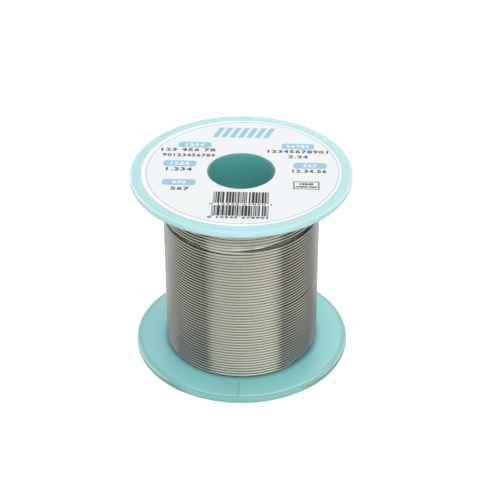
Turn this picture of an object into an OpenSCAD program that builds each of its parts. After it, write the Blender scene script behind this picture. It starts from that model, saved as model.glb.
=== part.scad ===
// A reel of flux-cored solder wire: a one-piece moulded spool with a printed
// paper disc on its upper flange, wound from flange to flange with solder.
// Millimetres. The spool stands on its lower flange: the origin is the middle
// of that flange's outer face, and +Z runs up the bore.

/* [Flanges] */
// Outside diameter of both flanges
flange_d = 66; // [62:0.5:80]
// Thickness of each flange
flange_t = 2.1; // [1.6:0.1:3]
// Clear width between the flanges, which the solder fills
traverse = 57.2; // [40:0.1:80]
// Round along each flange's edge on the winding side
rim_r = 0.7; // [0.3:0.1:0.9]
// Round along each flange's edge on the outer side
edge_r = 0.25; // [0.1:0.05:0.4]
// Height of the mould's witness line on the flanges' winding sides
witness_h = 0.1; // [0.04:0.02:0.2]
// Width of the witness line
witness_w = 0.4; // [0.2:0.05:0.8]
// Turn of the mould's parting plane from the front-to-back line
witness_turn = -2; // [-20:1:20]

/* [Barrel] */
// Diameter of the bore that the spindle goes through
bore_d = 19.4; // [18:0.1:20]
// Chamfer at both mouths of the bore
bore_edge = 0.3; // [0.1:0.05:0.6]
// Wall of the bore tube and of the barrel
wall_t = 2.1; // [1.5:0.1:2.4]
// Outside diameter of the barrel that the solder is wound on
barrel_d = 41; // [39:0.5:44]
// Number of ribs between the bore tube and the barrel
rib_count = 4; // [3:1:6]
// Thickness of a rib
rib_t = 1.8; // [1:0.1:2.4]
// How far the ribs stop short of the base
rib_recess = 1; // [0.5:0.5:6]

/* [Label] */
// Bare ring of flange between the label and the rim
label_margin = 3.45; // [1:0.05:8]
// Bare ring of flange between the label and the bore's chamfer
label_hole_margin = 0.1; // [0.05:0.05:2]
// Thickness of the label
label_t = 0.12; // [0.06:0.02:0.3]

/* [Solder] */
// Depth of the wound solder over the barrel
winding_depth = 2.95; // [2.6:0.05:6]
// Thickness of the outer layer of turns
outer_layer_t = 1.5; // [1:0.1:1.8]
// Loops that the outer layer makes from flange to flange
loops = 24; // [16:1:24]
// Clear gap between neighbouring loops
loop_gap = 0.5; // [0.45:0.05:0.8]
// Extra width of the open groove where the winding skips a turn
skip_gap = 1.2; // [0.4:0.1:2.5]
// Depth of the open groove below the upper flange
skip_depth = 10.9; // [7:0.1:30]
// Diameter of the solder wire, as its two loose ends show it
wire_d = 1; // [0.8:0.1:1.4]
// Diameter of the flux core in the wire
flux_d = 0.45; // [0.2:0.05:0.6]
// Length of the loose outer end, where the wire is drawn off
free_end_l = 14; // [6:0.5:18]
// Height of the starting hole in the barrel, above the lower flange
start_hole_h = 6; // [4:0.5:12]
// Clearance around the wire in its starting hole
start_clearance = 0.5; // [0.2:0.1:1]

/* [Hidden] */
$fn = 128;
spool_h = traverse + 2 * flange_t;
flange_r = flange_d / 2;
bore_r = bore_d / 2;
barrel_r = barrel_d / 2;
bore_tube_r = bore_r + wall_t;
pocket_r = barrel_r - wall_t;
pocket_mid_r = (bore_tube_r + pocket_r) / 2;
label_r = flange_r - label_margin;
label_hole_r = bore_r + bore_edge + label_hole_margin;

// The solder lies this far from the barrel and the flanges, over the witness line.
wrap_gap = witness_h + 0.05;
weld = 0.2;          // overlap of the ribs and witness lines with the walls
seat_gap = 0.05;     // between the outer layer of turns and the layers under it
flux_fit = 0.01;     // between the flux core and its hole

// The outer layer is one tube that goes down from the upper flange to the lower
// one, anticlockwise seen from above, and stands for the wire's many finer turns.
rings_per_loop = 24;
sides = 6;
pitch = (traverse - 2 * wrap_gap - skip_gap + loop_gap) / (loops + 1);
turn_w = pitch - loop_gap;
winding_r = barrel_r + winding_depth;
loop_r = winding_r - outer_layer_t / 2;
inner_layers_r = (winding_r - outer_layer_t) * cos(180 / rings_per_loop) - seat_gap;
winding_top = flange_t + traverse - wrap_gap;
first_loop_z = winding_top - turn_w / 2;
start_turn = 90;     // the outer end is at the back
skip_run = 60;       // turn of the winding in which it crosses the groove
skip_at = (skip_depth - turn_w / 2) / pitch;
last_ring = loops * rings_per_loop;

// The wire's inner end goes through the starting hole between two ribs.
start_azimuth = 180 / rib_count;
start_z = flange_t + start_hole_h;
start_bend_r = 1.5 * wire_d;

mint = [0.60, 0.87, 0.84];
paper_white = [0.95, 0.96, 0.97];
solder_grey = [0.66, 0.66, 0.64];
solder_shade = [0.42, 0.47, 0.44];
rosin_amber = [0.85, 0.68, 0.34];

// ---- Spool ----

// Half of a flange's section from radius r_in out to the rim, with its outer face at y = 0.
module flange_section(r_in) {
    translate([r_in, 0])
        square([flange_r - rim_r - r_in, flange_t]);
    translate([flange_r - rim_r, edge_r])
        square([rim_r, flange_t - rim_r - edge_r]);
    translate([flange_r - rim_r, flange_t - rim_r])
        circle(rim_r);
    translate([flange_r - rim_r, 0])
        square([rim_r - edge_r, edge_r]);
    translate([flange_r - edge_r, edge_r])
        circle(edge_r);
}

module bore_chamfer() {
    polygon([[bore_r, 0], [bore_r + bore_edge, 0], [bore_r, bore_edge]]);
}

module spool_section() {
    difference() {
        union() {
            flange_section(pocket_r);
            translate([0, spool_h])
                mirror([0, 1])
                    flange_section(bore_r);
            translate([bore_r, 0])
                square([wall_t, spool_h]);
            translate([pocket_r, 0])
                square([wall_t, spool_h]);
        }
        bore_chamfer();
        translate([0, spool_h])
            mirror([0, 1])
                bore_chamfer();
    }
}

module ribs() {
    for (i = [0 : rib_count - 1])
        rotate([0, 0, i * 360 / rib_count])
            translate([bore_tube_r - weld, -rib_t / 2, rib_recess])
                cube([pocket_r - bore_tube_r + 2 * weld, rib_t, spool_h - flange_t - rib_recess + weld]);
}

// The thin ridges that the two halves of the mould leave, in front and at the back.
module witness_lines() {
    for (side = [0, 180])
        rotate([0, 0, witness_turn + 90 + side])
            for (z = [flange_t - weld, spool_h - flange_t - witness_h])
                translate([barrel_r - weld, -witness_w / 2, z])
                    cube([flange_r - rim_r - barrel_r + weld, witness_w, witness_h + weld]);
}

module start_hole() {
    rotate([0, 0, start_azimuth])
        translate([pocket_mid_r, 0, start_z])
            rotate([0, 90, 0])
                cylinder(h = barrel_r - pocket_mid_r + weld, d = wire_d + 2 * start_clearance);
}

module spool() {
    color(mint)
        difference() {
            union() {
                rotate_extrude()
                    spool_section();
                ribs();
                witness_lines();
            }
            start_hole();
        }
}

// ---- Label ----

module top_label() {
    color(paper_white)
        translate([0, 0, spool_h])
            difference() {
                cylinder(h = label_t, r = label_r);
                translate([0, 0, -1])
                    cylinder(h = label_t + 2, r = label_hole_r);
            }
}

// ---- Solder ----

module solder_inner_layers() {
    color(solder_shade)
        translate([0, 0, flange_t + wrap_gap])
            difference() {
                cylinder(h = traverse - 2 * wrap_gap, r = inner_layers_r);
                translate([0, 0, -1])
                    cylinder(h = traverse + 2, r = barrel_r + wrap_gap);
            }
}

// A step from 0 to 1 with level ends.
function eased(x) = let (s = max(0, min(1, x))) s * s * (3 - 2 * s);

function azimuth(turn) = start_turn + 360 * turn;

function loop_z(turn) =
    first_loop_z - pitch * turn
    - skip_gap * eased((turn - skip_at) * 360 / skip_run + 0.5);

function outward(a) = [cos(a), sin(a), 0];

function forward(a) = [-sin(a), cos(a), 0];

function loop_centre(turn) = loop_r * outward(azimuth(turn)) + [0, 0, loop_z(turn)];

// The six corners of the tube around a centre, two of them straight above and below it.
function ring(centre, a) = [
    for (j = [0 : sides - 1])
        let (corner = 90 + j * 360 / sides)
        centre
        + outward(a) * cos(corner) * outer_layer_t / 2 / cos(180 / sides)
        + [0, 0, sin(corner) * turn_w / 2]
];

// Both ends run straight for one width of the tube.
rings = concat(
    [ring(loop_centre(0) - turn_w * forward(azimuth(0)), azimuth(0))],
    [for (i = [0 : last_ring]) ring(loop_centre(i / rings_per_loop), azimuth(i / rings_per_loop))],
    [ring(loop_centre(loops) + turn_w * forward(azimuth(loops)), azimuth(loops))]
);

function tube_points(rings) = [for (r = rings) each r];

function tube_faces(count) = concat(
    [for (j = [1 : sides - 2]) [0, j + 1, j]],
    [
        for (i = [0 : count - 2], j = [0 : sides - 1])
            let (
                near = i * sides + j,
                near_next = i * sides + (j + 1) % sides,
                far = near + sides,
                far_next = near_next + sides
            )
            each [[near, near_next, far_next], [near, far_next, far]]
    ],
    [for (j = [1 : sides - 2]) let (base = (count - 1) * sides) [base, base + j, base + j + 1]]
);

// The least distance between corners of the tube that lie about one turn apart.
least_gap = min([
    for (i = [0 : len(rings) - 1], step = [-2 : 2])
        let (k = i + rings_per_loop + step)
        if (k < len(rings))
            for (p = rings[i], q = rings[k]) norm(p - q)
]);
echo(str("solder_outer_layer: least gap between its turns is ", least_gap, " mm"));

module solder_outer_layer() {
    color(solder_grey)
        polyhedron(points = tube_points(rings), faces = tube_faces(len(rings)), convexity = 20);
}

// Puts its children at the tube's upper end, along the wire's way out of the winding.
module at_free_end() {
    translate(loop_centre(0) - turn_w * forward(azimuth(0)))
        rotate([0, 0, azimuth(0) - 90])
            rotate([0, 90, 0])
                children();
}

module solder_free_end() {
    color(solder_grey)
        at_free_end()
            difference() {
                cylinder(h = free_end_l, d = wire_d);
                translate([0, 0, -1])
                    cylinder(h = free_end_l + 2, d = flux_d + 2 * flux_fit);
            }
}

module flux_core() {
    color(rosin_amber)
        at_free_end()
            cylinder(h = free_end_l, d = flux_d);
}

// The inner end: in through the barrel's wall, then a bend down into the pocket.
module solder_start_end() {
    color(solder_grey)
        rotate([0, 0, start_azimuth]) {
            translate([pocket_mid_r + start_bend_r, 0, start_z])
                rotate([0, 90, 0])
                    cylinder(h = barrel_r - pocket_mid_r - start_bend_r, d = wire_d);
            translate([pocket_mid_r + start_bend_r, 0, start_z - start_bend_r])
                rotate([90, 0, 0])
                    rotate([0, 0, 90])
                        rotate_extrude(angle = 90)
                            translate([start_bend_r, 0])
                                circle(d = wire_d);
            translate([pocket_mid_r, 0, rib_recess])
                cylinder(h = start_z - start_bend_r - rib_recess, d = wire_d);
        }
}

spool();
top_label();
solder_inner_layers();
solder_outer_layer();
solder_free_end();
flux_core();
solder_start_end();
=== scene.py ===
import math
import random

import bmesh
import bpy
from mathutils import Matrix, Vector


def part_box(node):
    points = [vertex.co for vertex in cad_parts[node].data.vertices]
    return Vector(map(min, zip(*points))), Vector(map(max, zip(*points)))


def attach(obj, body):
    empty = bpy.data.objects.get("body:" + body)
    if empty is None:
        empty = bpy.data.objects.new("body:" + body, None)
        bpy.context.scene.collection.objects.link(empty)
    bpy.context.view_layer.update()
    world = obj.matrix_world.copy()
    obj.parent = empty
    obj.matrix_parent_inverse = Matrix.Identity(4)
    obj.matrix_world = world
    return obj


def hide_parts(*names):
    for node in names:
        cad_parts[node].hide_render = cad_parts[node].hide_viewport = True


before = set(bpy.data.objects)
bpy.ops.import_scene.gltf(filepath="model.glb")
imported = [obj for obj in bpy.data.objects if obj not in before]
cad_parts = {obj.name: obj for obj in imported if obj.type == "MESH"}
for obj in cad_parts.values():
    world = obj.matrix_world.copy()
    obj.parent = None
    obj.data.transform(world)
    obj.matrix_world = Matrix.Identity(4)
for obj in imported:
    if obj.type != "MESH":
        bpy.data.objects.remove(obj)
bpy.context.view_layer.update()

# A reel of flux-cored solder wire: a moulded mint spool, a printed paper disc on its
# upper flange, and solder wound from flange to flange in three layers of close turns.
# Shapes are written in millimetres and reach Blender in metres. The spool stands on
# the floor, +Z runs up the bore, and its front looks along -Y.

MM = 0.001


def top_corner(node):
    """The highest corner of a CAD node's box, in millimetres."""
    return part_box(node)[1] / MM


# ---- Sizes that the frame gives, in millimetres ----

SPOOL_H = top_corner("spool").z
FLANGE_R = top_corner("spool").x
LABEL_TOP = top_corner("top_label").z
WINDING_R = top_corner("solder_outer_layer").x
FREE_LENGTH = top_corner("solder_free_end").x

# ---- Sizes of the spool and the wire, in millimetres ----

FLANGE_T = 2.1
BARREL_R = 20.5
WIRE_D = 0.985         # with a hair of clearance between turns that lie a wire apart
WIRE_R = WIRE_D / 2
FLUX_D = 0.45
FLUX_HOLE_D = 0.47

# ---- Camera ----

CAMERA_AT = Vector((0, -0.3974, 0.3056))   # metres
CAMERA_DOWN = 34.437                       # degrees
CAMERA_RIGHT = 0.374                       # degrees
CAMERA_LENS = 113.66                       # millimetres
CAMERA_SENSOR = 36                         # millimetres
CAMERA_NEAR = 0.01                         # metres

camera_data = bpy.data.cameras.new("camera")
camera_data.lens = CAMERA_LENS
camera_data.sensor_width = CAMERA_SENSOR
camera_data.clip_start = CAMERA_NEAR
camera = bpy.data.objects.new("camera", camera_data)
camera.location = CAMERA_AT
camera.rotation_euler = (math.radians(90 - CAMERA_DOWN), 0, math.radians(-CAMERA_RIGHT))
bpy.context.scene.collection.objects.link(camera)
bpy.context.scene.camera = camera
bpy.context.scene.view_settings.view_transform = "Standard"

# ---- Pieces ----


def material_of(piece, material):
    """Gives a piece one material."""
    piece.data.materials.clear()
    piece.data.materials.append(material)


def place_mesh(name, mesh, material, replaces=()):
    """Makes a mesh in metres a piece that rides on the reel."""
    piece = bpy.data.objects.new(name, mesh)
    bpy.context.scene.collection.objects.link(piece)
    material_of(piece, material)
    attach(piece, "root")
    if replaces:
        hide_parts(*replaces)


def finish_piece(name, bm, material):
    """Makes a bmesh in millimetres a piece that rides on the reel."""
    bmesh.ops.scale(bm, vec=(MM, MM, MM), verts=bm.verts)
    mesh = bpy.data.meshes.new(name)
    bm.to_mesh(mesh)
    bm.free()
    place_mesh(name, mesh, material)


# ---- Shader maths ----

MIX_FACTOR, MIX_FIRST, MIX_SECOND, MIX_RESULT = 0, 6, 7, 2   # a Mix node's sockets for colours


class Value:
    """A socket's output. Expressions on it add the nodes that work them out."""

    def __init__(self, shader, socket):
        self.shader = shader
        self.socket = socket

    def math(self, operation, *others):
        values = dict(enumerate((self, *others)))
        return self.shader.add("ShaderNodeMath", {"operation": operation}, values)

    def __add__(self, other):
        return self.math("ADD", other)

    __radd__ = __add__

    def __sub__(self, other):
        return self.math("SUBTRACT", other)

    def __rsub__(self, other):
        return self.shader.add("ShaderNodeMath", {"operation": "SUBTRACT"}, {0: other, 1: self})

    def __mul__(self, other):
        return self.math("MULTIPLY", other)

    __rmul__ = __mul__

    def __pow__(self, other):
        return self.math("POWER", other)

    def __abs__(self):
        return self.math("ABSOLUTE")

    def at_most(self, limit):
        return self.math("MINIMUM", limit)

    def at_least(self, limit):
        return self.math("MAXIMUM", limit)

    def step(self, low, high):
        """0 below low, 1 above high, smooth between. A high under low turns it round."""
        flip = high < low
        first, last = (high, low) if flip else (low, high)
        settings = {"interpolation_type": "SMOOTHSTEP"}
        values = {
            "Value": self,
            "From Min": first,
            "From Max": last,
            "To Min": float(flip),
            "To Max": float(not flip),
        }
        return self.shader.add("ShaderNodeMapRange", settings, values)

    def between(self, low, high, soft):
        """1 between low and high. Each edge takes twice soft."""
        return self.step(low - soft, low + soft) * self.step(high + soft, high - soft)


class Shader:
    """A node tree, with one method that adds any node."""

    def __init__(self, tree):
        self.tree = tree
        tree.nodes.clear()

    def add(self, kind, settings=None, values=None, output=0):
        """A node of a kind, with its settings and its sockets' values or links."""
        node = self.tree.nodes.new(kind)
        for key, setting in (settings or {}).items():
            setattr(node, key, setting)
        for key, value in (values or {}).items():
            if isinstance(value, Value):
                self.tree.links.new(value.socket, node.inputs[key])
            else:
                node.inputs[key].default_value = value
        return Value(self, node.outputs[output]) if node.outputs else None

    def mix(self, factor, first, second):
        """A colour between two, each a link or three numbers."""
        colors = [c if isinstance(c, Value) else (*c, 1) for c in (first, second)]
        values = {MIX_FACTOR: factor, MIX_FIRST: colors[0], MIX_SECOND: colors[1]}
        return self.add("ShaderNodeMix", {"data_type": "RGBA"}, values, MIX_RESULT)

    def painted(self, color, coats):
        """A colour under coats, each a mask, how much of it covers, and the coat's colour."""
        for mask, cover, coat in coats:
            color = self.mix(mask if cover == 1 else mask * cover, color, coat)
        return color

    def position(self):
        """Object coordinates in millimetres, as one vector."""
        place = self.add("ShaderNodeTexCoord", output="Object")
        return self.add("ShaderNodeVectorMath", {"operation": "SCALE"}, {0: place, "Scale": 1 / MM})

    def stretched(self, vector, factors):
        """A vector whose three parts are multiplied by three factors."""
        return self.add("ShaderNodeVectorMath", {"operation": "MULTIPLY"}, {0: vector, 1: factors})

    def parts(self, vector):
        """A vector's x, y and z."""
        first = self.add("ShaderNodeSeparateXYZ", values={0: vector})
        outputs = first.socket.node.outputs
        return tuple(Value(self, outputs[i]) for i in range(3))

    def noise(self, vector, scale, detail=2.0, roughness=0.5):
        values = {"Vector": vector, "Scale": scale, "Detail": detail, "Roughness": roughness}
        return self.add("ShaderNodeTexNoise", values=values)

    def bump(self, height, strength, distance):
        values = {"Strength": strength, "Distance": distance, "Height": height}
        return self.add("ShaderNodeBump", values=values)


class Spot:
    """A point in millimetres: its vector, x, y and z, and its distance from the bore's axis."""

    def __init__(self, shader):
        self.vector = shader.position()
        self.x, self.y, self.z = shader.parts(self.vector)
        self.radius = (self.x * self.x + self.y * self.y) ** 0.5

    @property
    def left(self):
        return self.x * -1

    @property
    def front(self):
        return self.y * -1


def surface(name, values):
    """A material whose Principled shader gets the values that a function of its tree works out."""
    material = bpy.data.materials.new(name)
    material.use_nodes = True
    shader = Shader(material.node_tree)
    principled = shader.add("ShaderNodeBsdfPrincipled", values=values(shader))
    shader.add("ShaderNodeOutputMaterial", values={0: principled})
    return material


# ---- The spool's mint plastic ----
# A pair of sizes is where a tint starts and where it is full, as step takes it. A band of
# three is where it begins and ends, and how soft its edges are, as between takes it.

MINT = (0.300, 0.700, 0.700)
MINT_DEEP = (0.260, 0.650, 0.650)
# These two colours are painted light on the lower flange's face, brighter towards its edge.
MINT_FACE = (0.322, 0.765, 0.770)
MINT_FACE_RIM = (0.348, 0.770, 0.775)
# This colour is painted shade on the lower flange's rim and where its face falls away at the sides.
MINT_RIM = (0.252, 0.555, 0.530)
# This colour is painted light on the upper flange's face, and also the paler tone of scuffs.
MINT_PALE = (0.472, 0.758, 0.766)
# This colour is painted highlight and painted light on the flanges' rims.
MINT_HIGHLIGHT = (0.760, 0.970, 0.970)
MINT_SHADED = (0.300, 0.660, 0.685)
# These colours are painted shade in the bore, darker near its top and darkest at its mouth.
MINT_BORE = (0.150, 0.495, 0.485)
MINT_BORE_DEEP = (0.220, 0.690, 0.675)
MINT_MOUTH = (0.080, 0.270, 0.260)
MINT_SEAM = (0.120, 0.420, 0.420)
# This colour is painted shadow under the winding and painted shade along the flanges' lower edges.
MINT_CONTACT_SHADOW = (0.020, 0.110, 0.120)
# These two colours are painted light on the barrel, where it shows in the groove.
MINT_BARREL = (0.760, 0.960, 0.790)
MINT_BARREL_LIT = (0.820, 1.000, 0.860)

FLOW_STRETCH = (1, 1, 0.25)
FLOW_CHANGE = (0.3, 0.7)                         # of the flow's noise
LOWER_FACE_BAND = (FLANGE_T - 0.2, FLANGE_T + 0.9, 0.15)
FACE_PALER_R = (25, 32)
FACE_COVER, FACE_STREAKS = 0.85, 0.3
UPPER_RING_Z = (58.5, 59.5)
UPPER_RING_R = (27, 28)
SCUFFED_R = (FLANGE_R - 1.2, FLANGE_R + 0.2)
SCUFF_STRETCH = (1, 1, 3)
SCUFF_CHANGE = (0.55, 0.72)                      # of the scuffs' noise
SCUFF_PALER = 0.3
SHADED_FACE_BAND = (FLANGE_T - 0.6, FLANGE_T + 0.9, 0.15)
SHADED_LEFT_X = (12, 32)

RIM_R = (FLANGE_R - 0.8, FLANGE_R - 0.65)        # past the edge of a flange's face
LOWER_FLANGE_Z = (FLANGE_T + 0.5, FLANGE_T + 0.2)
# Painted shade where the lower face falls away at the sides.
FALLEN_R = (FLANGE_R - 2.0, FLANGE_R - 1.5)
FALLEN_X = (14, 25)
# A painted highlight line along the lower flange's edge in front.
EDGE_LINE_R_BAND = (FLANGE_R - 1.12, FLANGE_R - 0.76, 0.06)
EDGE_LINE_Z_BAND = (FLANGE_T - 0.6, FLANGE_T + 0.9, 0.2)
EDGE_LINE_X = (-22, -8)
EDGE_LINE_FRONT = (14, 25)
# Painted light on the upper flange's rim.
UPPER_RIM_Z = (40, 58)
# Painted light on both flanges' rims at the left and right, more on the upper one.
LIT_SIDES_R = (FLANGE_R - 0.7, FLANGE_R - 0.1)
LIT_SIDES_LEFT_X = (19, 31)
LIT_SIDES_RIGHT_X = (18, 34)
LIT_SIDES_RIGHT = 0.7                                 # of what the left has
LIT_SIDES_Z = (0, 60)
LIT_SIDES_BELOW, LIT_SIDES_MORE_ABOVE = 0.7, 0.3

BORE_R = (11.6, 11.0)
BORE_Z = (0, 10)
BORE_DEEP_Z = (58, 48)
MOUTH_R = (10.6, 10.4)
MOUTH_Z = (SPOOL_H - 0.3, SPOOL_H - 0.15)
BORE_LIP_Z = (56, 61)
BORE_LIP_LEFT = (5, 9)
BORE_LIP_SHADE = 0.45

BARREL_R_BAND = (BARREL_R - 1.0, BARREL_R + 0.5, 0.3)
BARREL_Z_BAND = (2.4, 59.4, 0.2)
BARREL_LIT_X = (4, -10)

SEAM_AT = -2.0                                   # degrees from the front
SEAM_R = (24.2, 25.6)
SEAM_HALF = (0.40, 0.08)                         # from the line's middle
SEAM_COVER, SEAM_ON_RIM = 0.32, 0.5
# A streak of painted shade, left of the seam.
STREAK_BAND = (-26, 0, 0.15)                     # degrees from the seam
STREAK_GROWS = (-26, -2)
STREAK_COVER = 0.10

# Painted shadow where the winding stands on the lower flange.
UNDER_WIRE_R = (25.4, 22.8)
UNDER_WIRE_CURVE = 1.25
UNDER_WIRE_COVER, UNDER_WIRE_LESS_RIGHT = 0.5, 0.06
UNDER_WIRE_RIGHT = (5, 20)
# Painted shade along the flanges' lower edges.
LIP_R = (FLANGE_R - 1.2, FLANGE_R - 0.6)
UPPER_LIP_BAND = (SPOOL_H - FLANGE_T, SPOOL_H - FLANGE_T + 0.65, 0.25)
LOWER_LIP_Z = (0.8, 0.15)

CHAMFER_R = (FLANGE_R - 2.0, FLANGE_R - 0.8)     # where a face falls off a little to its edge
CHAMFER_SLOPE = 0.16
GRAIN_HEIGHT = 0.0048
MINT_ROUGHNESS = 0.26
GRAIN_ROUGHER, SCUFFS_ROUGHER, RIM_ROUGHER = 0.08, 0.12, 0.3


def face_coats(s, spot, flow, scuffed):
    """The flanges' faces: painted light makes the lower one brighter, more so towards its edge, and the
    upper one paler; painted shade darkens the lower one's left; scuffs are paler.
    """
    # Painted light: the lower flange's face is painted brighter, more so towards its edge.
    face = s.mix(spot.radius.step(*FACE_PALER_R), MINT_FACE, MINT_FACE_RIM)
    on_lower_face = spot.z.between(*LOWER_FACE_BAND) * (FACE_COVER + flow * FACE_STREAKS)
    # Painted light: the upper flange's face is painted paler.
    upper_ring = spot.z.step(*UPPER_RING_Z) * spot.radius.step(*UPPER_RING_R)
    shaded_left = spot.z.between(*SHADED_FACE_BAND) * spot.left.step(*SHADED_LEFT_X)
    return [
        (on_lower_face, 1, face),
        ((upper_ring + scuffed * SCUFF_PALER).at_most(1), 1, MINT_PALE),
        (shaded_left, 0.7, MINT_SHADED),
    ]


def rim_coats(spot, past_edge):
    """The flanges' edges: painted shade on the lower one's rim and where its face falls away at the
    sides, a painted highlight line in front, and painted light on the upper rim and on both rims at the
    sides.
    """
    radius = spot.radius
    fallen_side = radius.step(*FALLEN_R) * spot.z.between(*LOWER_FACE_BAND) * abs(spot.x).step(*FALLEN_X)
    edge_line = radius.between(*EDGE_LINE_R_BAND) * spot.z.between(*EDGE_LINE_Z_BAND)
    edge_line = edge_line * spot.x.step(*EDGE_LINE_X) * spot.front.step(*EDGE_LINE_FRONT)
    lit_sides = spot.left.step(*LIT_SIDES_LEFT_X) + spot.x.step(*LIT_SIDES_RIGHT_X) * LIT_SIDES_RIGHT
    lit_sides = radius.step(*LIT_SIDES_R) * lit_sides * (LIT_SIDES_BELOW + spot.z.step(*LIT_SIDES_Z) * LIT_SIDES_MORE_ABOVE)
    return [
        (past_edge * spot.z.step(*LOWER_FLANGE_Z), 1, MINT_RIM),
        (fallen_side, 0.75, MINT_RIM),
        (edge_line, 0.8, MINT_HIGHLIGHT),
        (past_edge * spot.z.step(*UPPER_RIM_Z), 0.22, MINT_HIGHLIGHT),
        (lit_sides, 1, MINT_HIGHLIGHT),
    ]


def bore_coats(s, spot):
    """The bore, in painted shade: darker near its top than deep down, and darkest at its mouth and left
    lip.
    """
    bore = spot.radius.step(*BORE_R) * spot.z.step(*BORE_Z)
    mouth = spot.radius.step(*MOUTH_R) * spot.z.step(*MOUTH_Z)
    shaded_lip = bore * spot.z.step(*BORE_LIP_Z) * spot.left.step(*BORE_LIP_LEFT) * BORE_LIP_SHADE
    return [
        (bore, 1, s.mix(spot.z.step(*BORE_DEEP_Z), MINT_BORE, MINT_BORE_DEEP)),
        (mouth.at_least(shaded_lip), 1, MINT_MOUTH),
    ]


def barrel_coats(s, spot):
    """The barrel, in painted light: paler than the mint, and palest on its left."""
    barrel = spot.radius.between(*BARREL_R_BAND) * spot.z.between(*BARREL_Z_BAND)
    return [(barrel, 1, s.mix(spot.x.step(*BARREL_LIT_X), MINT_BARREL, MINT_BARREL_LIT))]


def seam_coats(spot, past_edge):
    """The witness line on the lower flange, and a faint streak of painted shade that grows towards it
    from the left.
    """
    from_seam = spot.x.math("ARCTAN2", spot.front) * (180 / math.pi) - SEAM_AT
    lower_flange = spot.z.step(*LOWER_FLANGE_Z) * spot.radius.step(*SEAM_R)
    line = abs(from_seam * spot.radius * (math.pi / 180)).step(*SEAM_HALF)
    line = line * lower_flange * (1 - past_edge * SEAM_ON_RIM)
    streak = from_seam.between(*STREAK_BAND) * from_seam.step(*STREAK_GROWS) * lower_flange
    return [(line * SEAM_COVER + streak * STREAK_COVER, 1, MINT_SEAM)]


def contact_coats(spot):
    """Painted shadow where the winding stands on the lower flange, and painted shade along the flanges'
    lower edges.
    """
    under_wire = spot.radius.step(*UNDER_WIRE_R) ** UNDER_WIRE_CURVE * spot.z.between(*LOWER_FACE_BAND)
    under_wire = under_wire * (UNDER_WIRE_COVER - spot.x.step(*UNDER_WIRE_RIGHT) * UNDER_WIRE_LESS_RIGHT)
    lower_edges = spot.z.between(*UPPER_LIP_BAND) + spot.z.step(*LOWER_LIP_Z)
    return [
        (under_wire, 1, MINT_CONTACT_SHADOW),
        (spot.radius.step(*LIP_R) * lower_edges, 0.28, MINT_CONTACT_SHADOW),
    ]


def moulded_mint(s):
    """Mint polystyrene: faint flow streaks, a fine grain and scuffed rims, with painted light and shade
    on its faces, rims, bore, barrel and where the winding stands.
    """
    spot = Spot(s)
    flow = s.noise(s.stretched(spot.vector, FLOW_STRETCH), scale=0.09, detail=3.0)
    grain = s.noise(spot.vector, scale=3.2, detail=3.0, roughness=0.6)
    scuffs = s.noise(s.stretched(spot.vector, SCUFF_STRETCH), scale=1.4, detail=4.0, roughness=0.7)
    scuffed = spot.radius.step(*SCUFFED_R) * scuffs.step(*SCUFF_CHANGE)
    past_edge = spot.radius.step(*RIM_R)
    color = s.mix(flow.step(*FLOW_CHANGE), MINT_DEEP, MINT)
    color = s.painted(color, face_coats(s, spot, flow, scuffed))
    color = s.painted(color, rim_coats(spot, past_edge))
    color = s.painted(color, bore_coats(s, spot))
    color = s.painted(color, barrel_coats(s, spot))
    color = s.painted(color, seam_coats(spot, past_edge))
    color = s.painted(color, contact_coats(spot))
    roughness = MINT_ROUGHNESS + grain * GRAIN_ROUGHER + scuffed * SCUFFS_ROUGHER
    chamfer = spot.radius.at_least(CHAMFER_R[0]).at_most(CHAMFER_R[1]) - CHAMFER_R[0]
    return {
        "Base Color": color,
        "Roughness": roughness + past_edge * RIM_ROUGHER,
        "IOR": 1.5,
        "Subsurface Weight": 0.25,
        "Subsurface Radius": (1.0, 1.4, 1.3),
        "Subsurface Scale": 0.0015,
        "Normal": s.bump(grain * GRAIN_HEIGHT - chamfer * CHAMFER_SLOPE, strength=1.0, distance=MM),
    }


# ---- Paper and ink ----

PAPER = (0.830, 0.856, 0.872)
PAPER_MARGIN = (0.950, 0.955, 0.960)
PAPER_CLOUD = 0.25
FIBRE_STRETCH = (1, 0.35, 1)
PAPER_ROUGHNESS, FIBRES_ROUGHER = 0.38, 0.12
PRINT_SHIFT = 0.37     # how far right of the bore's axis the print's middle is
RING_LINE_R = 28.46
RING_LINE_EDGE = 0.1
FINE_BUMP = {"strength": 0.04, "distance": 0.02 * MM}

# An ink is its colour, and how far it lightens towards white where it lies thin.
PALE_BLUE = ((0.295, 0.580, 0.760), 0.10)
RING_BLUE = ((0.480, 0.530, 0.660), 0.10)
DARK_GREY = ((0.072, 0.072, 0.078), 0.05)
CODE_BLACK = ((0.016, 0.016, 0.020), 0.04)
KNOCKOUT_WHITE = ((0.900, 0.930, 0.960), 0.02)
INK_THINS = (0.35, 0.75)                         # of the lay's noise
INK_ROUGHNESS, LAY_ROUGHER = 0.36, 0.15


def printed_paper(s):
    """Coated white label paper, printed with a faint tint inside its ring line."""
    place = s.position()
    x, y, z = s.parts(place)
    from_print = ((x - PRINT_SHIFT) ** 2 + y * y) ** 0.5
    fibres = s.noise(s.stretched(place, FIBRE_STRETCH), scale=6.0, detail=4.0, roughness=0.65)
    cloud = s.noise(place, scale=0.12)
    tint = s.mix(cloud * PAPER_CLOUD, PAPER, PAPER_MARGIN)
    outside = from_print.step(RING_LINE_R - RING_LINE_EDGE, RING_LINE_R + RING_LINE_EDGE)
    return {
        "Base Color": s.mix(outside, tint, PAPER_MARGIN),
        "Roughness": PAPER_ROUGHNESS + fibres * FIBRES_ROUGHER,
        "IOR": 1.48,
        "Normal": s.bump(fibres, **FINE_BUMP),
    }


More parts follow.
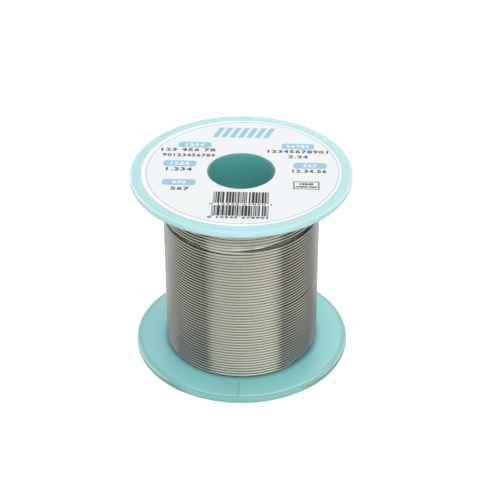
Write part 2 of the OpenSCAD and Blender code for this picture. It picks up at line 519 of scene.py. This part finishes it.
def ink(color, lightens):
    """Printing ink of one colour, a little uneven as it lies on the paper."""
    def values(s):
        lay = s.noise(s.position(), scale=4.5, detail=3.0, roughness=0.6)
        thin = tuple(c + (1 - c) * lightens for c in color)
        return {
            "Base Color": s.mix(lay.step(*INK_THINS), color, thin),
            "Roughness": INK_ROUGHNESS + lay * LAY_ROUGHER,
            "IOR": 1.28,
        }
    return values


# ---- Solder and flux ----
# The winding's middle is bright, with painted reflection that makes the turns' flanks brighter than their
# crests and its far sides cooler. Its sides, low rows and foot are darker with painted shade, and what
# lies under the outer turns, with a patch beside the groove, is painted lighter.

SOLDER = (0.475, 0.465, 0.400)
SOLDER_DULL = (0.420, 0.410, 0.352)
# This colour is painted reflection, cooler at the winding's far left and right.
SOLDER_COOL = (0.395, 0.405, 0.385)
# This colour is painted shade on the winding's sides, low rows and foot.
SOLDER_SHADE = (0.205, 0.215, 0.205)
# These two colours are painted reflection across each turn in the bright middle: darker crests, brighter
# flanks.
SOLDER_CREST = (0.425, 0.415, 0.355)
SOLDER_FLANK = (0.590, 0.580, 0.500)
# This colour is painted light on wire under the outer turns, where it shows in the groove.
SOLDER_GROOVE_LIGHT = (0.800, 0.840, 0.760)
# This colour is painted light on a patch beside the groove.
SOLDER_PATCH_LIGHT = (0.740, 0.730, 0.640)
ROSIN = (0.62, 0.34, 0.07)
ROSIN_PALE = (0.80, 0.52, 0.16)

LINE_STRETCH = (0.06, 0.06, 6.0)
PATCH_STRETCH = (0.12, 0.12, 1.6)
DULL_CHANGE = (0.45, 0.75)           # of the patches' noise
FLANK_R = (22.5, 22.7)               # a turn's flanks lie further in than its crest,
CREST_R = (23.37, 23.22)             # which starts here
GROOVE_LIGHT_R = (22.55, 22.35)
SIDES_MIDDLE = 0.7                   # the bright middle's, to the right of the axis
SIDES_BAND = (10.6, 20.5, 1.2)       # how far from SIDES_MIDDLE the sides with painted shade are
FRONT_HALF = (0, -6)
COOL_X = (17.5, 21.5)
SHADE_Z = (28, 4)
SHADE_ON_SIDES, SHADE_ON_FLANKS = 0.5, 0.25   # on the turns, and how much more on their flanks
FLANK_ANYWHERE = 0.2                 # on the flanks of the sides at every height
LOW_Z = (15, 3)
LOW_X = (14, 19)
LOW_SIDES = 0.35
FOOT_Z = (3.1, 2.2)
FOOT_X = (4, 12)
FOOT, FOOT_SIDES = 0.35, 0.5
LIT_PATCH_X_BAND = (-10.5, 0.5, 2.0)    # a patch of painted light, beside the groove
LIT_PATCH_Z_BAND = (46.0, 51.0, 1.5)
SOLDER_ROUGHNESS, LINES_ROUGHER, DULL_ROUGHER = 0.11, 0.04, 0.04
ROSIN_ROUGHNESS, ROSIN_ROUGHER = 0.15, 0.1


def shade_share(spot, sides, flank):
    """How much painted shade a turn has: at the sides, low down and at the foot."""
    side_shade = spot.z.step(*SHADE_Z) * (SHADE_ON_SIDES + flank * SHADE_ON_FLANKS) + flank * FLANK_ANYWHERE
    low_shade = spot.z.step(*LOW_Z) * abs(spot.x).step(*LOW_X) * LOW_SIDES
    foot_shade = spot.z.step(*FOOT_Z) * (FOOT + abs(spot.x).step(*FOOT_X) * FOOT_SIDES)
    return (sides * side_shade + low_shade).at_most(1).at_least(foot_shade)


def drawn_solder(s):
    """Drawn tin alloy: bright, with fine lines along the wire and duller patches, and painted light,
    shade and reflection over the winding.
    """
    spot = Spot(s)
    lines = s.noise(s.stretched(spot.vector, LINE_STRETCH), scale=1.0)
    patches = s.noise(s.stretched(spot.vector, PATCH_STRETCH), scale=1.0, detail=3.0, roughness=0.6)
    dull = patches.step(*DULL_CHANGE)
    flank = spot.radius.step(*FLANK_R) * spot.radius.step(*CREST_R)
    sides = abs(spot.x - SIDES_MIDDLE).between(*SIDES_BAND)
    front = spot.y.step(*FRONT_HALF)
    # Painted reflection: in the bright middle, the turns' flanks are painted brighter than their crests.
    middle = s.mix(flank, SOLDER_CREST, SOLDER_FLANK)
    lit_patch = spot.x.between(*LIT_PATCH_X_BAND) * spot.z.between(*LIT_PATCH_Z_BAND) * front
    color = s.painted(
        SOLDER,
        [
            (dull, 0.6, SOLDER_DULL),
            ((1 - sides) * front, 0.8, middle),
            (abs(spot.x).step(*COOL_X), 1, SOLDER_COOL),
            (shade_share(spot, sides, flank), 1, SOLDER_SHADE),
            (lit_patch, 0.4, SOLDER_PATCH_LIGHT),
            (spot.radius.step(*GROOVE_LIGHT_R), 1, SOLDER_GROOVE_LIGHT),
        ],
    )
    return {
        "Base Color": color,
        "Metallic": 1.0,
        "Roughness": SOLDER_ROUGHNESS + lines * LINES_ROUGHER + dull * DULL_ROUGHER,
        "Normal": s.bump(lines, **FINE_BUMP),
    }


def rosin(s):
    """Amber flux resin, clouded with a paler one."""
    cloud = s.noise(s.position(), scale=2.5)
    return {
        "Base Color": s.mix(cloud, ROSIN, ROSIN_PALE),
        "Roughness": ROSIN_ROUGHNESS + cloud * ROSIN_ROUGHER,
        "IOR": 1.53,
        "Coat Weight": 0.3,
    }


mint_plastic = surface("moulded_mint_plastic", moulded_mint)
label_paper = surface("coated_label_paper", printed_paper)
blue_ink = surface("pale_blue_ink", ink(*PALE_BLUE))
ring_ink = surface("ring_line_ink", ink(*RING_BLUE))
grey_ink = surface("dark_grey_ink", ink(*DARK_GREY))
black_ink = surface("bar_code_ink", ink(*CODE_BLACK))
white_ink = surface("white_knockout", ink(*KNOCKOUT_WHITE))
solder = surface("drawn_solder", drawn_solder)
flux_resin = surface("flux_resin", rosin)

material_of(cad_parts["spool"], mint_plastic)
material_of(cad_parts["top_label"], label_paper)
material_of(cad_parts["solder_start_end"], solder)

# ---- Print on the label ----
# The print has its own axes: it is turned a little on the flange, and off centre.

PRINT_TURN = -2.4      # degrees
INK_PROUD = 0.012      # above the paper
INK_SUNK = 0.03        # in the paper
LETTER_GAP = 1.15      # a figure's share of room, 1 being the font's own
CURVE_STEPS = 2        # of a figure's curved outline
CORNER_STEPS = 5

print_place = Matrix.Translation((PRINT_SHIFT, 0, LABEL_TOP)) @ Matrix.Rotation(
    math.radians(PRINT_TURN), 4, "Z"
)


def raise_print(bm):
    """Gives flat shapes their ink's thickness and sets them on the label."""
    bmesh.ops.translate(bm, vec=(0, 0, -INK_SUNK), verts=bm.verts)
    made = bmesh.ops.extrude_face_region(bm, geom=bm.faces[:])
    top = [g for g in made["geom"] if isinstance(g, bmesh.types.BMVert)]
    bmesh.ops.translate(bm, vec=(0, 0, INK_SUNK + INK_PROUD), verts=top)
    bmesh.ops.recalc_face_normals(bm, faces=bm.faces)
    bmesh.ops.transform(bm, matrix=print_place, verts=bm.verts)


def flat_bar(bm, centre, size, corner=0.0, slant=0.0):
    """A flat rectangle in the print's plane, with round corners or slanting ends."""
    made = bmesh.ops.create_grid(bm, x_segments=1, y_segments=1, size=0.5)["verts"]
    bmesh.ops.scale(bm, vec=(size[0], size[1], 1), verts=made)
    if slant:
        for v in made:
            v.co.x += v.co.y * slant
    bmesh.ops.translate(bm, vec=(centre[0], centre[1], 0), verts=made)
    if corner:
        bmesh.ops.bevel(
            bm, geom=made, offset=corner, segments=CORNER_STEPS, profile=0.5, affect="VERTICES",
            material=-1,
        )


def figures(bm, text, centre, size, bold):
    """Plain figures, filled, in the print's plane: size is the width and height they fill."""
    curve = bpy.data.curves.new("figures", "FONT")
    curve.body = text
    curve.resolution_u = CURVE_STEPS
    curve.offset = bold
    curve.space_character = LETTER_GAP
    written = bpy.data.objects.new("figures", curve)
    mesh = bpy.data.meshes.new_from_object(written)
    xs = [v.co.x for v in mesh.vertices]
    ys = [v.co.y for v in mesh.vertices]
    fit = Matrix.Diagonal((size[0] / (max(xs) - min(xs)), size[1] / (max(ys) - min(ys)), 1, 1))
    middle = Vector(((max(xs) + min(xs)) / 2, (max(ys) + min(ys)) / 2, 0))
    mesh.transform(Matrix.Translation((*centre, 0)) @ fit @ Matrix.Translation(-middle))
    bm.from_mesh(mesh)
    bpy.data.objects.remove(written)
    bpy.data.curves.remove(curve)
    bpy.data.meshes.remove(mesh)


def print_bars(name, material, bars):
    """One colour of the print: a list of (centre, size, corner, slant) bars."""
    bm = bmesh.new()
    for bar in bars:
        flat_bar(bm, *bar)
    raise_print(bm)
    finish_piece(name, bm, material)


def box_outline(bm, centre, size, line):
    """A frame of four bars whose ends overlap at the corners."""
    for side in (-1, 1):
        flat_bar(bm, (centre[0], centre[1] + side * (size[1] - line) / 2), (size[0], line))
        flat_bar(bm, (centre[0] + side * (size[0] - line) / 2, centre[1]), (line, size[1]))


def print_figures(name, lines, box=None):
    """Grey lines of figures, a list of (text, centre, size, bold), in a box where one is given."""
    bm = bmesh.new()
    if box:
        box_outline(bm, *box)
    for line in lines:
        figures(bm, *line)
    raise_print(bm)
    finish_piece(name, bm, grey_ink)


# ---- Pills, with white figures on them ----

PILL = (9.9, 3.25)
PILL_CORNER = 1.05
PILLS = [(-14.9, 14.5), (16.2, 14.45), (-18.75, 3.5), (19.9, 3.4), (-18.35, -7.0)]
PILL_FIGURES = ("1234", "56789", "1234", "567", "890")
PILL_FIGURE_W, PILL_FIGURE_H = 1.4, 1.75
PILL_BOLD = 0.05

print_bars("label_pills", blue_ink, [(place, PILL, PILL_CORNER) for place in PILLS])

bm = bmesh.new()
for place, text in zip(PILLS, PILL_FIGURES):
    figures(bm, text, place, (PILL_FIGURE_W * len(text), PILL_FIGURE_H), PILL_BOLD)
bmesh.ops.translate(bm, vec=(0, 0, INK_PROUD), verts=bm.verts)
raise_print(bm)
finish_piece("label_pill_figures", bm, white_ink)

# ---- Lines of figures, stripes and a boxed mark ----

LINE_BOLD = 0.035
print_figures(
    "label_figures",
    [
        ("123 456 78", (-16.7, 11.55), (16.3, 1.85), LINE_BOLD),
        ("90123456789", (-16.4, 8.4), (15.8, 1.8), LINE_BOLD),
        ("1.234", (-18.8, 0.34), (7.7, 1.9), LINE_BOLD),
        ("567", (-17.8, -10.4), (5.4, 1.9), LINE_BOLD),
        ("12345678901", (16.2, 11.4), (18.2, 1.85), LINE_BOLD),
        ("2.34", (16.3, 8.4), (5.9, 1.8), LINE_BOLD),
        ("12.34.56", (19.75, 0.35), (10.1, 1.85), LINE_BOLD),
    ],
)

STRIPES = 7
STRIPES_AT = (-0.4, 22.1)
STRIPES_W, STRIPE_H = 18.0, 5.8
STRIPE_SLANT = 0.35
STRIPE_SHARE = 0.62    # of the pitch, the rest being the gap
stripe_pitch = STRIPES_W / STRIPES
stripe_size = (stripe_pitch * STRIPE_SHARE, STRIPE_H)
stripe_places = [
    (STRIPES_AT[0] + (i - (STRIPES - 1) / 2) * stripe_pitch, STRIPES_AT[1]) for i in range(STRIPES)
]
print_bars("label_stripes", blue_ink, [(place, stripe_size, 0, STRIPE_SLANT) for place in stripe_places])

BOX = (7.6, 4.2)
BOX_AT = (18.9, -7.6)
BOX_LINE = 0.34
print_figures(
    "label_boxed_mark",
    [
        ("12345", (BOX_AT[0], BOX_AT[1] + 0.75), (4.1, 1.15), 0.085),
        ("678901234", (BOX_AT[0], BOX_AT[1] - 0.8), (6.2, 1.0), 0.09),
    ],
    (BOX_AT, BOX, BOX_LINE),
)

# ---- Bar codes, which encode nothing ----
# Places along a code are counted in modules, each as wide as its thinnest bar.

CODE_MODULES = 95
GUARDS = (0, 2, 46, 48, 92, 94)
CODE_FIELDS = ((4, 45), (50, 91))    # from where to where bars stand between the guards
BAR_WIDTHS = (1, 2, 3, 4, 5)
GAP_WIDTHS = (1, 1, 1, 1, 2, 3)
GUARD_DROP = 0.4


def code_bars(centre, width, height, seed):
    """Bars and gaps drawn from a seeded choice, with longer guard pairs at the ends and in the middle."""
    module = width / CODE_MODULES
    left = centre[0] - width / 2
    draw = random.Random(seed)
    bars = []
    for first, last in CODE_FIELDS:
        x = first
        while x < last:
            wide = min(draw.choice(BAR_WIDTHS), last - x)
            bars.append(((left + (x + wide / 2) * module, centre[1]), (wide * module, height)))
            x += wide + draw.choice(GAP_WIDTHS)
    for x in GUARDS:
        at_guard = (left + (x + 0.5) * module, centre[1] - GUARD_DROP / 2)
        bars.append((at_guard, (module, height + GUARD_DROP)))
    return bars


upper_bars = code_bars(centre=(0.16, -14.75), width=15.95, height=5.9, seed=18)
lower_bars = code_bars(centre=(0.1, -21.7), width=16.2, height=5.4, seed=20)
print_bars("label_barcode_upper", black_ink, upper_bars)
print_bars("label_barcode_lower", black_ink, lower_bars)
print_figures(
    "label_bar_code_figures",
    [
        ("0 12345 67890 1", (0.1, -18.3), (18.0, 0.95), 0.02),
        ("0 12345 678901", (-0.44, -25.2), (17.2, 1.15), 0.05),
    ],
)

# ---- Ring line ----

RING_LINE_W = 0.28
RING_STEPS = 180


def spun_ring(radius, width, low, high):
    """A ring of rectangular section, spun round Z."""
    bm = bmesh.new()
    inner, outer = radius - width / 2, radius + width / 2
    corners = [(inner, low), (outer, low), (outer, high), (inner, high)]
    verts = [bm.verts.new((r, 0, h)) for r, h in corners]
    edges = [bm.edges.new((a, b)) for a, b in zip(verts, verts[1:] + verts[:1])]
    bmesh.ops.spin(
        bm, geom=verts + edges, cent=(0, 0, 0), axis=(0, 0, 1), angle=math.tau, steps=RING_STEPS,
        use_merge=True,
    )
    bmesh.ops.recalc_face_normals(bm, faces=bm.faces)
    return bm


bm = spun_ring(RING_LINE_R, RING_LINE_W, -INK_SUNK, INK_PROUD)
bmesh.ops.transform(bm, matrix=print_place, verts=bm.verts)
finish_piece("label_ring_line", bm, ring_ink)

# ---- Making a wire from its path ----

LEAST_SIDES = 4        # of a curve's round bevel, to which each step adds two
WELD_GAP = 0.001       # points this close are one
SKIN_CORNERS = 4       # of each face of a wire's skin


def eased(x):
    """0 below 0, 1 above 1, smooth between."""
    s = max(0.0, min(1.0, x))
    return s * s * (3 - 2 * s)


def at(radius, azimuth, z):
    """The point at a distance from the bore's axis, in degrees from +X, at a height."""
    a = math.radians(azimuth)
    return (radius * math.cos(a), radius * math.sin(a), z)


def sharpen(faces):
    """Shades a wire's end faces flat, with sharp edges round them."""
    for face in faces:
        face.smooth = False
        for edge in face.edges:
            edge.smooth = False


def weld_ends(mesh):
    """Joins a wire's end faces to its skin."""
    bm = bmesh.new()
    bm.from_mesh(mesh)
    bmesh.ops.remove_doubles(bm, verts=bm.verts, dist=WELD_GAP * MM)
    sharpen([f for f in bm.faces if len(f.verts) > SKIN_CORNERS])
    bm.to_mesh(mesh)
    bm.free()


def wire_along(name, points, radius, sides, closed_ends=True):
    """A round wire along points in millimetres, as a mesh in metres."""
    curve = bpy.data.curves.new(name, "CURVE")
    curve.dimensions = "3D"
    curve.twist_mode = "Z_UP"
    curve.bevel_depth = radius * MM
    curve.bevel_resolution = (sides - LEAST_SIDES) // 2
    curve.use_fill_caps = closed_ends
    spline = curve.splines.new("POLY")
    spline.points.add(len(points) - 1)
    for knot, (x, y, z) in zip(spline.points, points):
        knot.co = (x * MM, y * MM, z * MM, 1)
    drawn = bpy.data.objects.new(name + "_curve", curve)
    bpy.context.scene.collection.objects.link(drawn)
    bpy.context.view_layer.update()
    evaluated = drawn.evaluated_get(bpy.context.evaluated_depsgraph_get())
    mesh = bpy.data.meshes.new_from_object(evaluated)
    mesh.name = name
    bpy.data.objects.remove(drawn)
    bpy.data.curves.remove(curve)
    mesh.polygons.foreach_set("use_smooth", [True] * len(mesh.polygons))
    if closed_ends:
        weld_ends(mesh)
    return mesh


def tube_along(name, points, radius, hole_radius, sides):
    """A wire with a hole along it, open at both ends, whose flat ends have sharp edges."""
    skin = wire_along(name, points, radius, sides, closed_ends=False)
    bm = bmesh.new()
    bm.from_mesh(skin)
    bpy.data.meshes.remove(skin)
    long_faces = len(bm.faces) * 2
    bmesh.ops.solidify(bm, geom=bm.faces[:], thickness=(radius - hole_radius) * MM)
    bmesh.ops.recalc_face_normals(bm, faces=bm.faces)
    bm.faces.ensure_lookup_table()
    sharpen(bm.faces[long_faces:])
    mesh = bpy.data.meshes.new(name)
    bm.to_mesh(mesh)
    bm.free()
    return mesh


# ---- The outer layer ----
# Its path is counted in turns from the start, which is at the back under the upper flange.

LAYER_STEP = 0.87                      # between layers, each lying in the grooves under it
OUTER_R = WINDING_R - WIRE_R
CLEARANCE = 0.04
START_AZIMUTH = 90                     # degrees from +X
TOP_TURN_Z = 58.28
BOTTOM_TURN_Z = FLANGE_T + WIRE_R + CLEARANCE
LAST_TURN = 55.66
END_DIVE = 0.06                        # turns over which the last stretch dives under

# A stretch near the top has sunk to the barrel, and leaves an open groove.
SUNK_FROM, SUNK_TO = 9.474, 10.425
SUNK_R = BARREL_R + WIRE_R + CLEARANCE
SUNK_LOW = 0.56                        # how low it lies in the groove
DIVE, DIVE_CURVE = 0.17, 0.6           # turns that the wire takes to dive, and how soon it does
RISE = 0.04                            # turns that it takes to come up
LIFT, LIFT_BEFORE, LIFT_OVER = 0.50, 0.32, 0.2      # how far its last part lifts, and where
GROOVE_DROP = 0.28                     # how much wider than one turn the groove is
DROP_AFTER, DROP_OVER = 0.015, 0.1

# A gap wider than the rest opens on the right, and the turns above and below are pushed from it.
GAP_TURN, GAP_AZIMUTH = 32.17, 340     # where it is widest, in turns and degrees from +X
GAP_HALF = 0.20
GAP_REACH, GAP_TURNS = 48, 14          # degrees to each side, and turns above and below

# The last turns are pushed up by the one that lies on the flange.
CROWD = 0.22
CROWD_FROM, CROWD_OVER = 47, 7         # turns
CROWD_STARTS, CROWD_GROWS, CROWD_ENDS = 0.35, 0.2, 0.3    # parts of a turn

LEANS = ((0.34, 12, 36), (0.10, 47, 3), (-0.20, 53, 5))   # each how much, from what height, over how much
WAVES = ((0.02, 11.3, 0), (0.015, 29.7, 1))               # each how deep, how close, and its phase

STEPS_PER_TURN = 96
OUTER_SIDES = 12


def lean(z):
    """How far a turn stands higher on the right than on the left, half of it, at height z."""
    return sum(amount * eased((z - start) / over) for amount, start, over in LEANS)


def parted(turn, azimuth):
    """How far a turn is pushed up or down from the wider gap."""
    away = GAP_TURN - turn
    near_gap = eased(1 - abs(math.remainder(azimuth - GAP_AZIMUTH, 360)) / GAP_REACH)
    return math.copysign(GAP_HALF, away) * max(0.0, 1 - abs(away) / GAP_TURNS) * near_gap


def crowded(turn):
    """How far one of the last turns is pushed up."""
    part = turn - math.floor(turn)
    pushed = eased((part - CROWD_STARTS) / CROWD_GROWS) * eased((1 - part) / CROWD_ENDS)
    return CROWD * pushed * eased((turn - CROWD_FROM) / CROWD_OVER)


def outer_point(turn):
    """The outer layer's centre line."""
    azimuth = START_AZIMUTH + 360 * turn
    z = TOP_TURN_Z - turn - GROOVE_DROP * eased((turn - SUNK_TO - DROP_AFTER) / DROP_OVER)
    z += lean(z) * math.cos(math.radians(azimuth)) + parted(turn, azimuth) + crowded(turn)
    z = max(z, BOTTOM_TURN_Z)
    dived = min(1.0, max(0.0, turn - SUNK_FROM) / DIVE)
    sunk = eased(dived ** DIVE_CURVE) * eased((SUNK_TO - turn) / RISE)
    z -= (SUNK_LOW - LIFT * eased((turn - SUNK_TO + LIFT_BEFORE) / LIFT_OVER)) * sunk
    ended = eased((turn - LAST_TURN + END_DIVE) / END_DIVE)
    wave = sum(depth * math.sin(turn * rate + phase) for depth, rate, phase in WAVES)
    radius = OUTER_R - (OUTER_R - SUNK_R) * sunk - LAYER_STEP * ended + wave
    return at(min(radius, OUTER_R), azimuth, z)


outer_steps = round(LAST_TURN * STEPS_PER_TURN)
outer_points = [outer_point(LAST_TURN * i / outer_steps) for i in range(outer_steps + 1)]
outer_mesh = wire_along("wound_wire_outer", outer_points, WIRE_R, OUTER_SIDES)
place_mesh("wound_wire_outer", outer_mesh, solder, ["solder_outer_layer"])

# ---- The layers under it ----
# They leave the groove's heights free, and cross them where the outer layer covers them.

MIDDLE_R = OUTER_R - LAYER_STEP
INNER_R = MIDDLE_R - LAYER_STEP
MIDDLE_ENDS, MIDDLE_FREE = (2.7, 58.7), (45.2, 50.4)
INNER_ENDS, INNER_FREE = (2.9, 58.5), (45.0, 50.0)
CROSS_FROM, CROSS_TO = 246.0, 262.0    # degrees from +X
UNDER_STEPS_PER_TURN = 48
UNDER_SIDES = 8


def under_layer(name, radius, hand, ends, free, replaces=()):
    """A layer between two ends, wound with a hand of 1 or -1. Its turns leave the free heights."""
    cross = (CROSS_TO - CROSS_FROM) / 360
    before = int(free[0] - ends[0])
    after = int(ends[1] - free[1])
    first = CROSS_FROM if hand > 0 else CROSS_TO
    points = []
    for i in range(round((before + cross + after) * UNDER_STEPS_PER_TURN) + 1):
        turn = i / UNDER_STEPS_PER_TURN - before
        climb = eased(turn / cross)
        beyond = max(0.0, turn - cross)
        z = free[0] + min(0.0, turn) + (free[1] - free[0]) * climb + beyond
        points.append(at(radius, first + hand * 360 * turn, z))
    mesh = wire_along(name, points, WIRE_R, UNDER_SIDES)
    place_mesh(name, mesh, solder, replaces)


under_layer("wound_wire_middle", MIDDLE_R, 1, MIDDLE_ENDS, MIDDLE_FREE, ["solder_inner_layers"])
under_layer("wound_wire_inner", INNER_R, -1, INNER_ENDS, INNER_FREE)

# ---- The loose outer end, with its flux ----

FREE_STEPS = 28
FREE_BOW = 0.9
BOW_OUT, BOW_DOWN = 0.15, 0.6          # shares of the bow that go outwards and down
FREE_SIDES = 20


def free_point(share):
    """The loose end's centre line, at a share of its length from where it leaves the winding."""
    bow = FREE_BOW * eased(share) * share
    return (FREE_LENGTH * share, OUTER_R + BOW_OUT * bow, TOP_TURN_Z - BOW_DOWN * bow)


free_points = [free_point(i / FREE_STEPS) for i in range(FREE_STEPS + 1)]
free_mesh = tube_along("wire_free_end", free_points, WIRE_R, FLUX_HOLE_D / 2, FREE_SIDES)
place_mesh("wire_free_end", free_mesh, solder, ["solder_free_end"])
flux_mesh = wire_along("wire_flux_core", free_points, FLUX_D / 2, FREE_SIDES)
place_mesh("wire_flux_core", flux_mesh, flux_resin, ["flux_core"])

# ---- Floor and light ----
# Azimuths are degrees from the front, growing to the right. Heights are degrees from level.

FRONT_PANEL = (-50.5, 57.3)            # from where to where the front panel stands
FRONT_PANEL_EDGE = 1.0
FRONT_ROWS = (-24.5, 27.8)             # the stretch of the winding that mirrors it
FRONT_LIGHT, FRONT_MORE_RIGHT = 1.09, 0.43
FRONT_GROWS = (-50, 60)
BACK_LEFT, BACK_RIGHT = (104, 140), (115, 147)    # over which the light from behind comes up
BACK_LIGHT, BACK_MORE_RIGHT = 1.1, 0.5
BACK_CHANGES = (-1, 1)
SIDE_TOP = (42, 36)
SIDE_LIGHT, SIDE_FADE = 1.2, 0.42
SIDE_FADES = (85, 125)
GAP_LIGHT = 0.02
TOP_PANEL = (58, 66)
TOP_LIGHT = 1.0
SEEN_LIGHT = 1.0                       # of what the camera sees past the floor

FLOOR_R = 4000
FLOOR_SIDES = 96
FLOOR_BELOW = 0.2                      # under the lower flange
FLOOR_EDGE = (-1.5, 1.5)
FLOOR_FRONT_Y = (0, -5)
FLOOR_BACK_SOONER = 14
# Painted light on the floor for bounced light: lit in front and behind, dark at the sides.
FLOOR_LIT, FLOOR_DARK = (0.88,) * 3, (0.09,) * 3
FLOOR_SEEN, FLOOR_GLOW = (0.9,) * 3, 0.6
UNDER_REEL_BAND = (10.5, FLANGE_R - 0.7, 0.4)
WHITE = (1, 1, 1, 1)


def azimuth_of(x, y):
    """Degrees from the front, growing to the right."""
    return x.math("ARCTAN2", y * -1) * (180 / math.pi)


def back_of(azimuth, sooner=0):
    """The light from behind, which comes up sooner on the left."""
    right = azimuth.step(BACK_RIGHT[0] - sooner, BACK_RIGHT[1] - sooner)
    left = (azimuth * -1).step(BACK_LEFT[0] - sooner, BACK_LEFT[1] - sooner)
    return right + left


def past_line(x, y, turn, heading):
    """How far a point of the floor lies past the line that leaves the winding there."""
    turn, heading = math.radians(turn), math.radians(heading)
    from_x, from_y = WINDING_R * math.sin(turn), -WINDING_R * math.cos(turn)
    return (x - from_x) * math.cos(heading) + (y - from_y) * math.sin(heading)


def floor_tree(s):
    """Pale floor, clear from below and under the flange. For light bouncing off it, it is painted light
    in front and behind and dark at the sides.
    """
    spot = Spot(s)
    x, y = spot.x, spot.y
    left_line, right_line = [past_line(x, y, *line) for line in zip(FRONT_ROWS, FRONT_PANEL)]
    front = left_line.step(*FLOOR_EDGE) * right_line.step(*FLOOR_EDGE[::-1]) * y.step(*FLOOR_FRONT_Y)
    back = back_of(azimuth_of(x, y), FLOOR_BACK_SOONER)
    thrown = s.mix(front + back, FLOOR_DARK, FLOOR_LIT)
    camera_ray = s.add("ShaderNodeLightPath", output="Is Camera Ray")
    lit = s.add("ShaderNodeBsdfDiffuse", values={"Color": s.mix(camera_ray, thrown, FLOOR_SEEN)})
    glow = s.add("ShaderNodeEmission", values={"Color": WHITE, "Strength": camera_ray * FLOOR_GLOW})
    both = s.add("ShaderNodeAddShader", values={0: lit, 1: glow})
    clear = s.add("ShaderNodeBsdfTransparent")
    from_below = s.add("ShaderNodeNewGeometry", output="Backfacing")
    unseen = from_below.at_least(spot.radius.between(*UNDER_REEL_BAND))
    shown = s.add("ShaderNodeMixShader", values={0: unseen, 1: both, 2: clear})
    s.add("ShaderNodeOutputMaterial", values={0: shown})


def studio(s):
    """White panels in front, behind and overhead, and low ones at the sides with dark gaps above."""
    direction = s.add("ShaderNodeTexCoord", output="Generated")
    x, y, z = s.parts(direction)
    azimuth = azimuth_of(x, y)
    height = z.math("ARCSINE") * (180 / math.pi)
    top = height.step(*TOP_PANEL)
    front = azimuth.between(*FRONT_PANEL, FRONT_PANEL_EDGE)
    back = back_of(azimuth)
    side = (1 - front) * (1 - back) * height.step(*SIDE_TOP)
    panels = front * (FRONT_LIGHT + azimuth.step(*FRONT_GROWS) * FRONT_MORE_RIGHT)
    panels = panels + back * (BACK_LIGHT + azimuth.step(*BACK_CHANGES) * BACK_MORE_RIGHT)
    panels = panels + side * (SIDE_LIGHT - abs(azimuth).step(*SIDE_FADES) * SIDE_FADE) + GAP_LIGHT
    brightness = panels * (1 - top) + top * TOP_LIGHT
    lighting = s.add("ShaderNodeBackground", values={"Color": WHITE, "Strength": brightness})
    plain = s.add("ShaderNodeBackground", values={"Color": WHITE, "Strength": SEEN_LIGHT})
    camera_ray = s.add("ShaderNodeLightPath", output="Is Camera Ray")
    shown = s.add("ShaderNodeMixShader", values={0: camera_ray, 1: lighting, 2: plain})
    s.add("ShaderNodeOutputWorld", values={0: shown})


floor_material = bpy.data.materials.new("pale_floor")
floor_material.use_nodes = True
floor_tree(Shader(floor_material.node_tree))
bm = bmesh.new()
bmesh.ops.create_circle(bm, cap_ends=True, segments=FLOOR_SIDES, radius=FLOOR_R * MM)
bmesh.ops.translate(bm, vec=(0, 0, -FLOOR_BELOW * MM), verts=bm.verts)
floor_mesh = bpy.data.meshes.new("floor")
bm.to_mesh(floor_mesh)
bm.free()
floor = bpy.data.objects.new("floor", floor_mesh)
bpy.context.scene.collection.objects.link(floor)
material_of(floor, floor_material)

world = bpy.data.worlds.new("studio")
world.use_nodes = True
studio(Shader(world.node_tree))
bpy.context.scene.world = world
